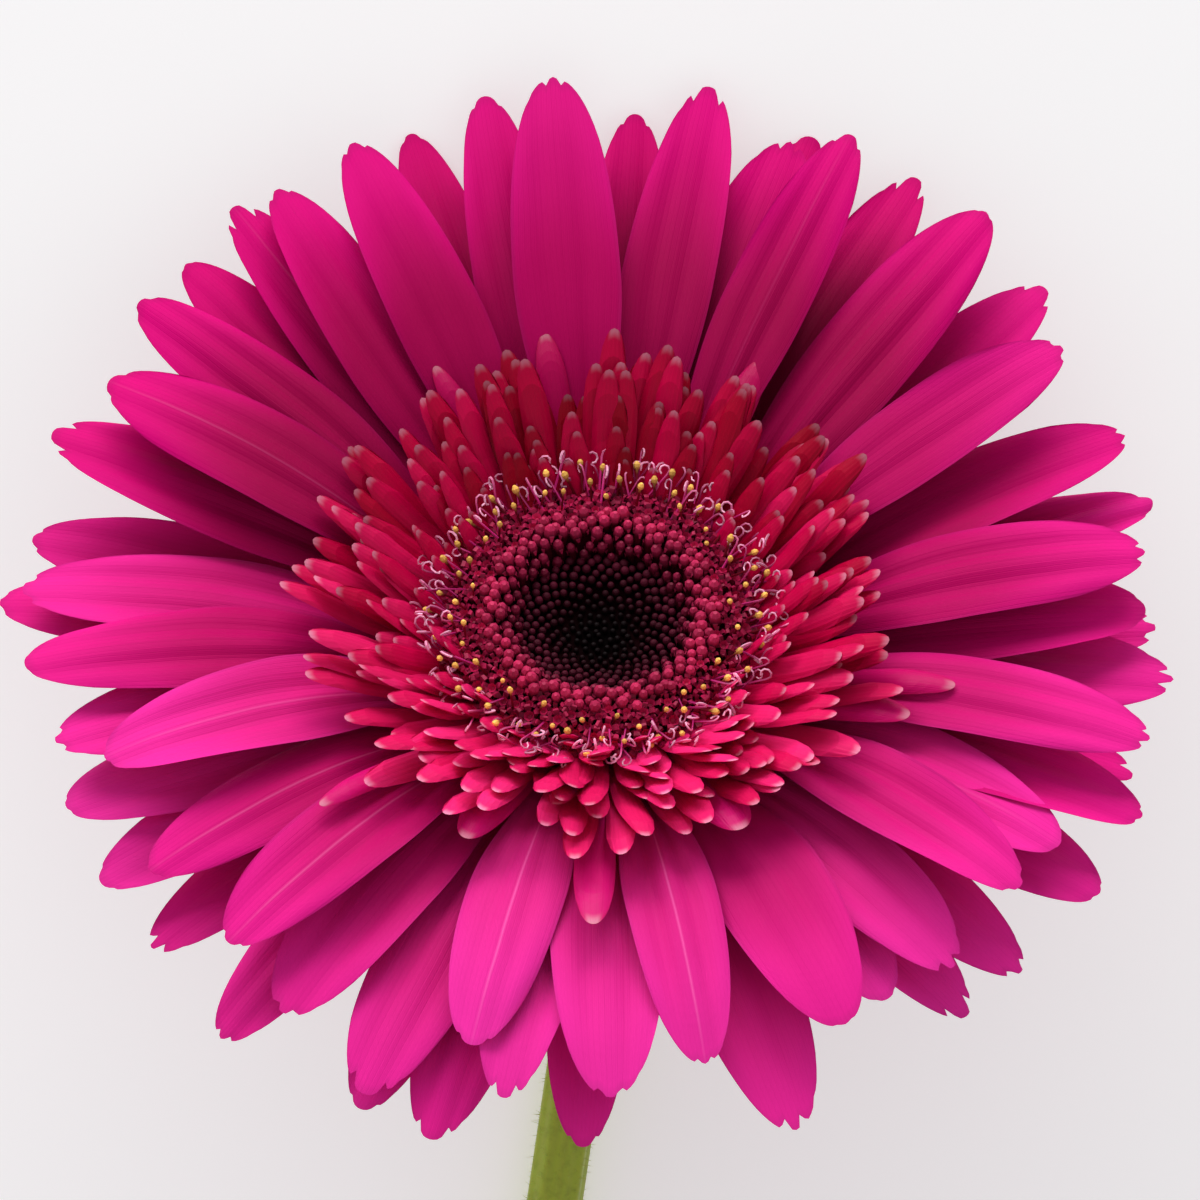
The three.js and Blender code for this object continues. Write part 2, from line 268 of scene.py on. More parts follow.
def finish_material(name, group, values, bump=0.5, bump_depth=0.1 * MM, **surface):
    """A material: a shared effect with its own values, into one shader with the plain values given"""
    made = bpy.data.materials.new(name)
    made.use_nodes = True
    tree = made.node_tree
    shader = tree.nodes["Principled BSDF"]
    effect = tree.nodes.new("ShaderNodeGroup")
    effect.node_tree = group.tree
    for label, value in values.items():
        effect.inputs[label].default_value = value
    for label, value in surface.items():
        shader.inputs[label.replace("_", " ")].default_value = value
    tree.links.new(effect.outputs["Color"], shader.inputs["Base Color"])
    tree.links.new(effect.outputs["Roughness"], shader.inputs["Roughness"])
    plugs = {"Strength": bump, "Distance": bump_depth, "Height": Term(tree, effect.outputs["Height"])}
    tree.links.new(Nodes(tree).add("ShaderNodeBump", plugs).socket, shader.inputs["Normal"])
    return made


# Green skin: lengthwise streaks and fine mottling over a colour that changes from one end to the other
STREAK_COLOUR = (0.36, 0.38, 0.05, 1)
MOTTLE_COLOUR = (0.09, 0.12, 0.012, 1)
green, asked, result = shader_group(
    "Green skin",
    {"Near Color": (0.2, 0.25, 0.03, 1), "Far Color": (0.2, 0.25, 0.03, 1), "Streaks": 30.0, "Shine": 0.5},
    {"Color": "Color", "Roughness": "Float", "Height": "Float"},
)
where = remembered(green, "skin")
along = green.add("ShaderNodeSeparateXYZ", {"Vector": where})
around = along.beside("Y")
spot = green.add("ShaderNodeTexCoord", give="Object")
speckle = noise(green, spot, 900.0, 4.0, 0.6)
cloud = noise(green, spot, 70.0, 2.0)
streak = reckon("SINE", around * asked["Streaks"] + cloud * 6.0) * 0.5 + 0.5
body = blend_colours(green, ramp(along.beside("X"), 0.0, 1.0), asked["Near Color"], asked["Far Color"])
streaked = blend_colours(green, streak * 0.22, body, STREAK_COLOUR)
mottled = blend_colours(green, ramp(speckle, 0.42, 0.75) * 0.3, streaked, MOTTLE_COLOUR)
green.tree.links.new(mottled.socket, result.inputs["Color"])
green.tree.links.new((asked["Shine"] + speckle * 0.2).socket, result.inputs["Roughness"])
green.tree.links.new((streak * 0.6 + speckle * 0.4).socket, result.inputs["Height"])

stem_skin = finish_material(
    "stem_skin", green,
    {"Near Color": (0.46, 0.52, 0.03, 1), "Far Color": (0.34, 0.43, 0.035, 1), "Streaks": 14.0,
     "Shine": 0.38},
    bump=0.35, bump_depth=0.15 * MM, Subsurface_Weight=0.12, Subsurface_Scale=0.002, Sheen_Weight=0.1,
    Specular_IOR_Level=0.25,
)

scape = Recipe(
    "Scape", neck_radius=2.75 * MM, cut_radius=3.4 * MM, ribs=STEM_RIBS, rib_depth=STEM_RIB_DEPTH,
    sides=54, steps=260, hair_length=HAIR_LENGTH, hair_density=HAIRS_PER_AREA, seed=3, skin=None,
)
line = scape.add("GeometryNodeMeshToCurve", {"Mesh": scape["guide"]})
line = scape.add("GeometryNodeCurveSplineType", {"Curve": line}, spline_type="CATMULL_ROM")
line = scape.add("GeometryNodeResampleCurve", {"Curve": line, "Count": scape["steps"]}, mode="COUNT")
share = scape.add("GeometryNodeSplineParameter", give="Factor")
girth = scape["cut_radius"] + (scape["neck_radius"] - scape["cut_radius"]) * share
girth = girth * (1.0 + ramp(share, STEM_SWELLS_FROM, 1.0) * STEM_SWELLING)
line = scape.remember(line, "along", share)
line = scape.add("GeometryNodeSetCurveRadius", {"Curve": line, "Radius": girth})
ring = scape.add(
    "GeometryNodeCurvePrimitiveCircle", {"Resolution": scape["sides"], "Radius": 1.0}, mode="RADIUS",
)
turn = scape.add("GeometryNodeSplineParameter", give="Factor") * (2 * math.pi)
groove = 1.0 + reckon("COSINE", turn * scape["ribs"]) * scape["rib_depth"] - scape["rib_depth"]
place = scape.add("GeometryNodeInputPosition")
ring = scape.remember(ring, "around", turn)
ring = scape.add("GeometryNodeSetPosition", {"Geometry": ring, "Position": place * groove})
width = scape.add("GeometryNodeInputRadius")
tube = scape.add(
    "GeometryNodeCurveToMesh", {"Curve": line, "Profile Curve": ring, "Scale": width, "Fill Caps": True},
)
recall = {
    label: scape.add(
        "GeometryNodeInputNamedAttribute", {"Name": label}, give="Attribute", data_type="FLOAT",
    )
    for label in ("along", "around")
}
skin_place = scape.add("ShaderNodeCombineXYZ", {"X": recall["along"], "Y": recall["around"]})
tube = scape.remember(tube, "skin", skin_place)
height = scape.add("ShaderNodeSeparateXYZ", {"Vector": place}, give="Z")
clear = reckon("GREATER_THAN", height, scape["hair_length"] * 1.2)
hair_points = scape.add(
    "GeometryNodeDistributePointsOnFaces",
    {"Mesh": tube, "Selection": clear, "Density": scape["hair_density"], "Seed": scape["seed"]},
    give="Points", distribute_method="RANDOM",
)
hair = scape.add(
    "GeometryNodeMeshCone",
    {"Vertices": 3, "Side Segments": 1, "Radius Top": HAIR_TIP, "Radius Bottom": HAIR_ROOT,
     "Depth": scape["hair_length"]},
    give="Mesh", fill_type="NGON",
)
sweep = scape.add(
    "FunctionNodeRandomValue",
    {"Min": (-HAIR_LEAN, -HAIR_LEAN, 0.0), "Max": (HAIR_LEAN, HAIR_LEAN, 6.3), "Seed": scape["seed"]},
    give="Value", data_type="FLOAT_VECTOR",
)
swept = scape.add("FunctionNodeEulerToRotation", {0: sweep})
stand = scape.add(
    "FunctionNodeRotateRotation", {"Rotation": hair_points.beside("Rotation"), "Rotate By": swept},
    rotation_space="LOCAL",
)
hairs = scape.add(
    "GeometryNodeInstanceOnPoints",
    {"Points": hair_points, "Instance": hair, "Rotation": stand, "Scale": scape.random(0.5, 1.2, 5)},
)
scape.finish(scape.add("GeometryNodeJoinGeometry", {"Geometry": [tube, hairs]}))

stem_corners = corners("stem")
stem_rings = stem_corners[np.argsort(stem_corners[:, 1])].reshape(-1, STEM_CORNERS, 3)
stem_line = stem_rings.mean(axis=1)
stem_girth = np.linalg.norm(stem_rings - stem_line[:, None], axis=2).max(axis=1)
stem = grow(
    "stem_scape", guide_line(stem_line), scape,
    cut_radius=stem_girth[0], neck_radius=stem_girth[-1], skin=stem_skin,
)
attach(stem, "root")
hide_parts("stem")

# The cut face shows pale pith inside a ring of darker strands and a thin green rind
CUT_RINGS = 7
CUT_SIDES = 54
CUT_WIDTH = 0.93  # share of the stem's width
CUT_DISH = 0.25 * MM
CUT_STAND = 1.3  # how far the face stands out of the stem's end, as a share of the dish
CUT_DEPTH = 0.95  # how far it goes in

cut_skin = finish_material(
    "cut_pith", green,
    {"Near Color": (0.62, 0.66, 0.36, 1), "Far Color": (0.2, 0.26, 0.05, 1), "Streaks": 24.0, "Shine": 0.3},
    bump=0.5, Subsurface_Weight=0.2, Subsurface_Scale=0.002,
)


def standing(place, right, far, up):
    """The turn and move that take X, Y and Z to three directions from a place"""
    return Matrix.Translation(place) @ Matrix((right, far, up)).transposed().to_4x4()


def wound(rings, sides):
    """The faces of a closed piece made of rings of corners, foot first"""
    faces = []
    for i in range(rings - 1):
        for j in range(sides):
            k = (j + 1) % sides
            faces.append((i * sides + j, i * sides + k, (i + 1) * sides + k, (i + 1) * sides + j))
    faces.append(tuple(range(sides - 1, -1, -1)))
    faces.append(tuple((rings - 1) * sides + j for j in range(sides)))
    return faces


def lathe(profile, shares, sides, ripple=0.0, ripples=0):
    """Corners, faces and skin places of a piece turned from points of distance and height, foot first"""
    points, told = [], []
    for (distance, height), share in zip(profile, shares):
        for j in range(sides):
            angle = 2 * math.pi * j / sides
            r = distance * (1 + ripple * math.cos(angle * ripples))
            points.append((r * math.cos(angle), r * math.sin(angle), height))
            told.append((share, angle, 0))
    return points, wound(len(profile), sides), told


def skinned(name, points, faces, told):
    """A mesh that remembers where each of its corners lies on the skin"""
    mesh = bpy.data.meshes.new(name)
    mesh.from_pydata(points, [], faces)
    layer = mesh.attributes.new("skin", "FLOAT_VECTOR", "POINT")
    layer.data.foreach_set("vector", np.array(told, dtype=np.float32).ravel())
    return mesh


def turned(name, place, profile, sides, skin, shares=None, **ripple):
    """A closed turned piece, with its axis along Z of the place where it stands"""
    shares = np.linspace(0, 1, len(profile)) if shares is None else shares
    mesh = skinned(name, *lathe(profile, shares, sides, **ripple))
    mesh.transform(place)
    mesh.shade_smooth()
    mesh.materials.append(skin)
    return placed(name, mesh)


cut_outward = Vector(stem_line[0] - stem_line[1]).normalized()
cut_side = cut_outward.cross(Vector((0, 0, 1))).normalized()
cut_radius = stem_girth[0] * CUT_WIDTH
cut_profile, cut_shares = [(cut_radius, -CUT_DEPTH * CUT_DISH)], [1.0]
for i in range(CUT_RINGS - 1, -1, -1):
    share = i / (CUT_RINGS - 1)
    ridge = math.cos(share * math.pi * 3) * 0.25
    cut_profile.append((cut_radius * max(share, 0.02), CUT_DISH * (ridge + share ** 3 - 1 + CUT_STAND)))
    cut_shares.append(share ** 3)
cut = turned(
    "stem_cut_face", standing(Vector(stem_line[0]), cut_side, cut_outward.cross(cut_side), cut_outward),
    cut_profile, CUT_SIDES, cut_skin, cut_shares,
)
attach(cut, "root")

# ---------------------------------------------------------------------------------------------------------
# Receptacle. The fleshy green button at the stem's top, which every bract, petal and floret grows from.
# It is turned about the head's own axis, and that axis sets where everything else in the head goes.

RECEPTACLE_SIDES = 72
RECEPTACLE_INSET = 0.15 * MM  # keeps the button's skin just inside its solid
BUTTON_RIPPLES = 24  # round its flank
BUTTON_RIPPLE = 0.012  # share of the radius

receptacle_corners = corners("receptacle")
middle = receptacle_corners.mean(axis=0)
sizes, directions = np.linalg.eigh(np.cov((receptacle_corners - middle).T))
lone = int(np.argmax(np.abs(sizes - np.median(sizes))))
axis = directions[:, lone] * np.sign(directions[2, lone])
top = ((receptacle_corners - middle) @ axis).max()
head_axis = Vector(axis)
head_far = head_axis.cross(Vector((1, 0, 0))).normalized()
head_right = head_far.cross(head_axis)
HEAD = standing(Vector(middle) + head_axis * top, head_right, head_far, head_axis)
INTO_HEAD = np.array(HEAD.inverted())


def head_places(node):
    """How far from the head's axis and how high in the head each corner of a solid is"""
    local = corners(node) @ INTO_HEAD[:3, :3].T + INTO_HEAD[:3, 3]
    return np.hypot(local[:, 0], local[:, 1]), local[:, 2]


receptacle_skin = finish_material(
    "receptacle_skin", green,
    {"Near Color": (0.17, 0.24, 0.04, 1), "Far Color": (0.3, 0.36, 0.1, 1), "Streaks": 26.0, "Shine": 0.45},
    bump=0.5, bump_depth=0.2 * MM, Subsurface_Weight=0.1, Subsurface_Scale=0.002, Sheen_Weight=0.3,
)
distance, height = head_places("receptacle")
button_radius = distance.max() - RECEPTACLE_INSET
button_foot = height.min()
neck_width = distance[height < button_foot + 0.01 * MM].max()
button_profile = [
    (neck_width * 0.5, button_foot),
    (neck_width, button_foot + 0.2 * MM),
    (neck_width * 1.35, button_foot * 0.88),
    (button_radius * 0.66, button_foot * 0.79),
    (button_radius * 0.86, button_foot * 0.68),
    (button_radius * 0.97, button_foot * 0.57),
    (button_radius, button_foot * 0.4),
    (button_radius, button_foot * 0.08),
    (button_radius * 0.95, -0.1 * MM),
    (button_radius * 0.5, -RECEPTACLE_INSET),
]
button = turned(
    "receptacle_button", HEAD, button_profile, RECEPTACLE_SIDES, receptacle_skin,
    ripple=BUTTON_RIPPLE, ripples=BUTTON_RIPPLES,
)
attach(button, "root")
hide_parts("receptacle")

# ---------------------------------------------------------------------------------------------------------
# Ray petals. Each is one long strap-shaped floret: a narrow channel at its root, a broad blade with two
# lengthwise folds, and a blunt tip with small teeth. They are set in rows down the receptacle's side.

RAY_CORNERS = 6  # corners round each section of a ray petal's solid
RAY_REACH = 45 * MM  # about the length of a ray petal's blade
RAY_SEED = 11
PALE_RIBBED = {  # how much the pale midrib shows
    "ray_petal_front_03": 0.35, "ray_petal_front_06": 0.7, "ray_petal_front_07": 0.6,
    "ray_petal_front_08": 1.0, "ray_petal_front_09": 1.0, "ray_petal_front_10": 1.0,
    "ray_petal_front_17": 1.0, "ray_petal_front_20": 0.3, "ray_petal_middle_05": 0.5,
}
# Times as deep as the folds of the others
DEEP_FOLDED = {"ray_petal_back_01": 3.2, "ray_petal_front_06": 1.4, "ray_petal_front_12": 1.5}

# Petal skin: colour from root to tip, with a dark root that on the ray petals is partly painted shade,
# fine veins between the folds, a pale midrib on some, paler below
petal, asked, result = shader_group(
    "Petal skin",
    {
        "Root Color": (0.2, 0.0, 0.03, 1), "Blade Color": (0.8, 0.01, 0.27, 1),
        "Tip Color": (0.8, 0.02, 0.35, 1), "Below Color": (0.5, 0.05, 0.25, 1),
        "Rib Color": (0.9, 0.3, 0.35, 1), "Root End": 0.4, "Tip Start": 0.85, "Tip Narrowness": 0.0,
        "Tip Glow": 0.0, "Rim": 0.0, "Vein Count": 11.0, "Vein Strength": 0.25, "Shine": 0.45,
    },
    {"Color": "Color", "Roughness": "Float", "Height": "Float"},
)
where = petal.add("ShaderNodeSeparateXYZ", {"Vector": remembered(petal, "petal")})
along, across, upper = where, where.beside("Y"), where.beside("Z")
tone = remembered(petal, "tone", "Fac")
rib = remembered(petal, "rib", "Fac")
spot = petal.add("ShaderNodeTexCoord", give="Object")
wander = noise(petal, spot, 120.0, 2.0) - 0.5
grain = noise(petal, spot, 2600.0, 3.0, 0.6)
patch = noise(petal, spot, 55.0, 2.0)
wave = reckon("COSINE", (across + wander * 0.1) * asked["Vein Count"] * math.pi)
vein = (1.0 - reckon("ABSOLUTE", wave)) ** 3.0
wave = reckon("COSINE", (across + wander * 0.14) * asked["Vein Count"] * (3.1 * math.pi))
fine_vein = (1.0 - reckon("ABSOLUTE", wave)) ** 2.0
# Darker towards the root: partly the petal's own colour and partly painted shade near the head's middle
rooted = ramp(along, 0.0, asked["Root End"], 1.0, 0.0)
ended = ramp(along, asked["Tip Start"], 1.0)
ended = ended * (1.0 - ramp(reckon("ABSOLUTE", across), 0.2, 0.6) * asked["Tip Narrowness"])
edge = ramp(reckon("ABSOLUTE", across), 0.72, 1.0) * asked["Rim"]
colour = blend_colours(petal, rooted, asked["Blade Color"], asked["Root Color"])
colour = blend_colours(petal, reckon("MAXIMUM", ended, edge), colour, asked["Tip Color"])
veined = (vein * 0.75 + fine_vein * 0.25) * asked["Vein Strength"]
colour = blend_colours(petal, veined, colour, asked["Root Color"])
colour = blend_colours(petal, ramp(patch, 0.35, 0.7) * 0.14, colour, asked["Root Color"])
midrib = bell(across + wander * 0.05, 0.026) * rib * ramp(along, 0.3, 0.5)
midrib = midrib * ramp(along, 0.8, 1.0, 1.0, 0.3)
colour = blend_colours(petal, midrib * 0.5, colour, asked["Rib Color"])
colour = blend_colours(petal, (1.0 - upper) * 0.8, colour, asked["Below Color"])
# Tone is partly a petal's own and partly painted shade, lower on the far side of the head: a low one is
# deeper and warmer, a high one lighter and cooler
# Tip Glow paints a glow of light on the tips of the low-toned, shaded petals
brightness = 0.33 + tone * 0.77 + (1.0 - tone) * ramp(along, 0.6, 1.0) * asked["Tip Glow"]
warmth = {
    "Hue": 0.512 - tone * 0.024, "Saturation": 1.015 - tone * 0.04, "Value": brightness, "Color": colour,
}
shade = petal.add("ShaderNodeHueSaturation", warmth)
petal.tree.links.new(shade.socket, result.inputs["Color"])
petal.tree.links.new((asked["Shine"] + grain * 0.18).socket, result.inputs["Roughness"])
relief = grain * 0.2 - vein * 0.5 - fine_vein * 0.3 + midrib * 0.3
petal.tree.links.new(relief.socket, result.inputs["Height"])

# Ray petal skin: the dark root is partly painted shade, Tip Glow is a painted glow on the tips of shaded
# petals, and the brighter tip is partly the petals' own colour and partly that glow
ray_skin = finish_material(
    "ray_petal_skin", petal,
    {
        "Root Color": (0.36, 0.0, 0.05, 1), "Blade Color": (0.71, 0.001, 0.17, 1),
        "Tip Color": (0.86, 0.008, 0.28, 1), "Below Color": (0.5, 0.012, 0.18, 1),
        "Rib Color": (0.95, 0.12, 0.4, 1), "Root End": 0.6, "Tip Start": 0.6, "Tip Glow": 0.42,
        "Vein Count": 9.0, "Vein Strength": 0.06, "Shine": 0.45,
    },
    bump=0.3, bump_depth=0.12 * MM, Specular_IOR_Level=0.05,
)

# A blade is widest at one share of its length, and its side edges reach to another, where the round tip
# begins. On it, s runs from root to tip and v from one side edge to the other.
TIP_ROUNDING = 2.3  # 2 makes an elliptical tip, more makes a blunter one
blade = Recipe(
    "Petal blade", along=46, across=23, side=(0.0, 1.0, 0.0), half_width=4.8 * MM, root_share=0.2,
    widest=0.6, side_reach=0.87, thickness=0.4 * MM, cup=0.0, channel=0.5,
    fold=0.4 * MM, fold_place=0.36, fold_width=0.22,
    mid_groove=0.06 * MM, ruffle=0.2 * MM, phase=0.0, twist=0.0, sway=0.0, tip_curl=0.0, teeth=0.02,
    tooth_place=0.26, tone=0.5, rib=0.0, skin=None,
)


def both_sides(place, width):
    """A swelling at the same place on either side of the midline"""
    return bell(v - place, width) + bell(v + place, width)


spine = blade.add("GeometryNodeMeshToCurve", {"Mesh": blade["guide"]})
spine = blade.add("GeometryNodeCurveSplineType", {"Curve": spine}, spline_type="CATMULL_ROM")
flat = blade.add(
    "GeometryNodeMeshGrid",
    {"Size X": 1.0, "Size Y": 2.0, "Vertices X": blade["along"], "Vertices Y": blade["across"]},
    give="Mesh",
)
spot = blade.add("ShaderNodeSeparateXYZ", {"Vector": blade.add("GeometryNodeInputPosition")})
s = spot + 0.5
v = spot.beside("Y")
v2 = v * v
u = s * blade["side_reach"]
tip_part = 1.0 - blade["widest"]
beyond = reckon("MAXIMUM", u - blade["widest"], 0.0) / tip_part
widening = blade["root_share"] + (1.0 - blade["root_share"]) * ramp(u, 0.05, blade["widest"])
tapering = reckon("SQRT", reckon("MAXIMUM", 1.0 - beyond ** TIP_ROUNDING, 0.0))
half = blade["half_width"] * widening * tapering
tip_width_squared = 1.0 - ((blade["side_reach"] - blade["widest"]) / tip_part) ** TIP_ROUNDING
tip_reach = blade["widest"] + tip_part * (1.0 - v2 * tip_width_squared) ** (1 / TIP_ROUNDING)
notch = both_sides(blade["tooth_place"], 0.07) + bell(v - 0.66, 0.06) * 0.3
reach = s * tip_reach - notch * blade["teeth"] * ramp(s, 0.9, 1.0)
sample = blade.add(
    "GeometryNodeSampleCurve", {"Curves": spine, "Factor": reach}, give="Position", mode="FACTOR",
)
forward = sample.beside("Tangent")
upward = reckon("NORMALIZE", reckon("CROSS_PRODUCT", forward, blade["side"]))
folds = both_sides(blade["fold_place"], blade["fold_width"])
fade = ramp(s, 0.75, 1.0, 1.0, 0.35) * ramp(s, 0.0, 0.2)
rise = half * v2 * (blade["cup"] + blade["channel"] * ramp(s, 0.0, 0.45, 1.0, 0.0))
rise = rise - (folds * blade["fold"] + bell(v, 0.09) * blade["mid_groove"]) * fade
rise = rise + v2 * v * blade["ruffle"] * reckon("SINE", s * 7.0 + blade["phase"])
rise = rise + v * half * blade["twist"] * s + blade["tip_curl"] * ramp(s, 0.55, 1.0) ** 2.0
body = (1.0 - v2 * v2) * ramp(s, 0.0, 0.05) * (1.0 - ramp(s, 0.86, 1.0)) * blade["thickness"] * 0.5
sideways = blade["side"] * (v * half + blade["sway"] * reckon("SINE", s * math.pi * 0.8))
faces = []
for upper, sign in ((1.0, 1.0), (0.0, -1.0)):
    known = blade.add("ShaderNodeCombineXYZ", {"X": s, "Y": v, "Z": upper})
    face = blade.remember(flat, "petal", known)
    place = sample + sideways + upward * (rise + body * sign)
    face = blade.add("GeometryNodeSetPosition", {"Geometry": face, "Position": place})
    faces.append(face if upper else blade.add("GeometryNodeFlipFaces", {"Mesh": face}))
shell = blade.add("GeometryNodeJoinGeometry", {"Geometry": faces})
shell = blade.add("GeometryNodeMergeByDistance", {"Geometry": shell, "Distance": 0.0005 * MM})
shell = blade.remember(shell, "tone", blade["tone"])
shell = blade.remember(shell, "rib", blade["rib"])
blade.finish(shell)


def measured(node):
    """A ray petal's midline, root first, the direction across it and half its width, from its solid"""
    points = corners(node)
    offset = points - np.array(HEAD.translation)
    flat = offset - np.outer(offset @ axis, axis)
    outward = flat.mean(axis=0) / np.linalg.norm(flat.mean(axis=0))
    order = np.argsort((flat @ outward).round(5), kind="stable")
    rings = points[order].reshape(-1, RAY_CORNERS, 3)
    line, side = rings.mean(axis=1), np.cross(axis, outward)
    return line, side, np.abs((rings - line[:, None]) @ side).max()


def ray_blade(name, line, side, half_width, fold=1.0, rib=0.0):
    """One ray petal along its midline, with folds, twist and teeth of its own, and a tone that is partly
    its own and partly painted shade
    """
    lot = draw.uniform(-1, 1, 10)
    toothed = 0.009 if "front" in name else 0.016
    # Painted shade: far_side lowers the tone of petals on the far side of the head
    far_side = (line[-1] - line[0]) @ np.array(head_far) / RAY_REACH
    return grow(
        name, guide_line(line), blade, side=tuple(side), half_width=half_width, cup=-0.04 + 0.14 * lot[0],
        fold=(0.42 + 0.18 * lot[1]) * MM * fold, fold_place=0.36 + 0.06 * lot[2], twist=0.12 * lot[3],
        sway=0.9 * lot[4] * MM, ruffle=0.4 * MM, phase=3 * lot[5], tip_curl=(0.5 + 0.9 * lot[6]) * MM,
        teeth=toothed * (1 + 0.8 * lot[7]), tooth_place=0.27 + 0.12 * lot[8],
        tone=0.5 - 0.35 * far_side + 0.25 * lot[9], rib=rib, skin=ray_skin,
    )


draw = np.random.default_rng(RAY_SEED)
ray_nodes = sorted(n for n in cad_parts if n.startswith("ray_petal"))
for node in ray_nodes:
    fold, rib = DEEP_FOLDED.get(node, 1.0), PALE_RIBBED.get(node, 0.0)
    ray = ray_blade(f"{node}_blade", *measured(node), fold, rib)
    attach(ray, "root")
    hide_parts(node)

# A few more back petals show only as slips between the others. Each follows a neighbour, turned about the
# head's axis and set lower.
TUCKED = (  # neighbour, degrees turned, share of its length
    ("ray_petal_back_10", 8.5, 0.97), ("ray_petal_back_01", 9.5, 0.96), ("ray_petal_back_13", -29.0, 0.94),
    ("ray_petal_back_14", 8.5, 0.98), ("ray_petal_back_07", -8.0, 0.97), ("ray_petal_back_16", -7.0, 0.98),
    ("ray_petal_back_10", -9.5, 0.95), ("ray_petal_back_13", -8.5, 0.97),
)
TUCKED_WIDTH = 0.95  # share of its neighbour's
TUCKED_DROP = 1.4 * MM
for number, (neighbour, degrees, share) in enumerate(TUCKED, 1):
    turn = np.array(Matrix.Rotation(math.radians(degrees), 3, head_axis))
    origin = np.array(HEAD.translation)
    line, side, half_width = measured(neighbour)
    line = (line[0] + (line - line[0]) * share - origin) @ turn.T + origin - axis * TUCKED_DROP
    tucked = ray_blade(f"ray_petal_tucked_{number:02d}", line, turn @ side, half_width * TUCKED_WIDTH)
    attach(tucked, "root")

# ---------------------------------------------------------------------------------------------------------
# Involucre. A cup of narrow, pointed, downy green bracts in overlapping rows, grown from the receptacle's
# flank, which holds the ray petals' roots together from below.

BRACT_ROWS = (  # count, reach and lift as shares of the cup's, half width
    (22, 0.72, 0.55, 1.5 * MM),
    (26, 1.0, 1.0, 1.7 * MM),
)
BRACT_INSET = 0.4 * MM  # keeps the bracts' roots above the foot of their cup
bract_skin = finish_material(
    "bract_skin", petal,
    {
        "Root Color": (0.14, 0.21, 0.025, 1), "Blade Color": (0.2, 0.3, 0.04, 1),
        "Tip Color": (0.36, 0.12, 0.06, 1), "Below Color": (0.22, 0.31, 0.05, 1),
        "Rib Color": (0.36, 0.44, 0.1, 1), "Root End": 0.5, "Tip Start": 0.9, "Rim": 0.35,
        "Vein Count": 5.0, "Vein Strength": 0.3, "Shine": 0.55,
    },
    bump=0.5, bump_depth=0.15 * MM, Sheen_Weight=0.25, Sheen_Roughness=0.5,
)

# Blades alike set in a ring, each turned a little its own way, with a tone that is partly random and partly
# painted shade: lighter on the near side of the head, darker on the far side
whorl = Recipe(
    "Whorl", count=30, ring=8.0 * MM, foot=0.0, turn=0.0, stray=0.04, nod=0.05, roll=0.1, shrink=0.12,
    seed=1, skin=None,
)
stray, roll, nod = (whorl.random(-1.0, 1.0, whorl["seed"] + n) for n in range(3))
index = whorl.add("GeometryNodeInputIndex")
angle = (index + whorl["turn"]) * (2 * math.pi) / whorl["count"] + stray * whorl["stray"]
spot = whorl.add("ShaderNodeCombineXYZ", {
    "X": reckon("COSINE", angle) * whorl["ring"], "Y": reckon("SINE", angle) * whorl["ring"],
    "Z": whorl["foot"],
})
feet = whorl.add("GeometryNodePoints", {"Count": whorl["count"], "Position": spot})
pose = whorl.add("ShaderNodeCombineXYZ", {"X": roll * whorl["roll"], "Y": nod * whorl["nod"], "Z": angle})
one = whorl.add("GeometryNodeRemoveAttribute", {"Geometry": whorl["guide"], "Name": "tone"})
copies = whorl.add("GeometryNodeInstanceOnPoints", {
    "Points": feet, "Instance": one, "Rotation": whorl.add("FunctionNodeEulerToRotation", {0: pose}),
    "Scale": 1.0 - whorl.random(0.0, 1.0, whorl["seed"] + 3.0) * whorl["shrink"],
})
# Painted shade: the tone drops towards the far side of the head, with a random part on top
tone = 0.5 - reckon("SINE", angle) * 0.32 + whorl.random(-1.0, 1.0, whorl["seed"] + 4.0) * 0.22
copies = whorl.remember(copies, "tone", tone, "INSTANCE")
whorl.finish(copies)


def arch(run, rise, leave, arrive, steps=9):
    """A midline that leaves its foot at one slope and arrives at its tip at another"""
    line = []
    for i in range(steps + 1):
        t = i / steps
        ease = t * t * (3 - 2 * t)
        line.append((run * t, 0, rise * ease + run * t * (1 - t) * ((1 - t) * leave - t * arrive)))
    return line


distance, height = head_places("involucre_bracts")
cup_ring, cup_foot, cup_reach = distance.min(), height.min(), distance.max()
cup_tip = height[distance > cup_reach - 0.1 * MM].mean()
rows = []
for row, (count, reach, lift, half_width) in enumerate(BRACT_ROWS):
    run = (cup_reach - cup_ring) * reach
    line = arch(run, (cup_tip - cup_foot) * lift, 0.15, 1)
    one = grow(
        "bract", guide_line(line), blade, along=12, across=7, half_width=half_width, root_share=0.55,
        thickness=0.5 * MM, cup=0.25, channel=0.0, fold=0.0, mid_groove=-0.25 * MM, ruffle=0.05 * MM,
        teeth=0.0, tip_curl=0.0, rib=0.6, skin=bract_skin,
    )
    rows.append(grow(
        f"bract_row_{row}", one.data, whorl, count=count, ring=cup_ring, foot=cup_foot + BRACT_INSET,
        turn=0.5 * row, stray=0.05, nod=0.05, roll=0.15, shrink=0.15, seed=20 + 7 * row, skin=bract_skin,
    ))
    bpy.data.objects.remove(one)
bracts = joined("bract_cup", rows)
bracts.data.transform(HEAD)
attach(bracts, "root")
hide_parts("involucre_bracts")

# ---------------------------------------------------------------------------------------------------------
# Short florets. Between the rays and the eye stand rows of small crimson strap florets, each one shorter
# and steeper than the one behind it, spooned towards its tip, which curls in with a lip painted pale,
# partly its own paler tip and partly a painted highlight.

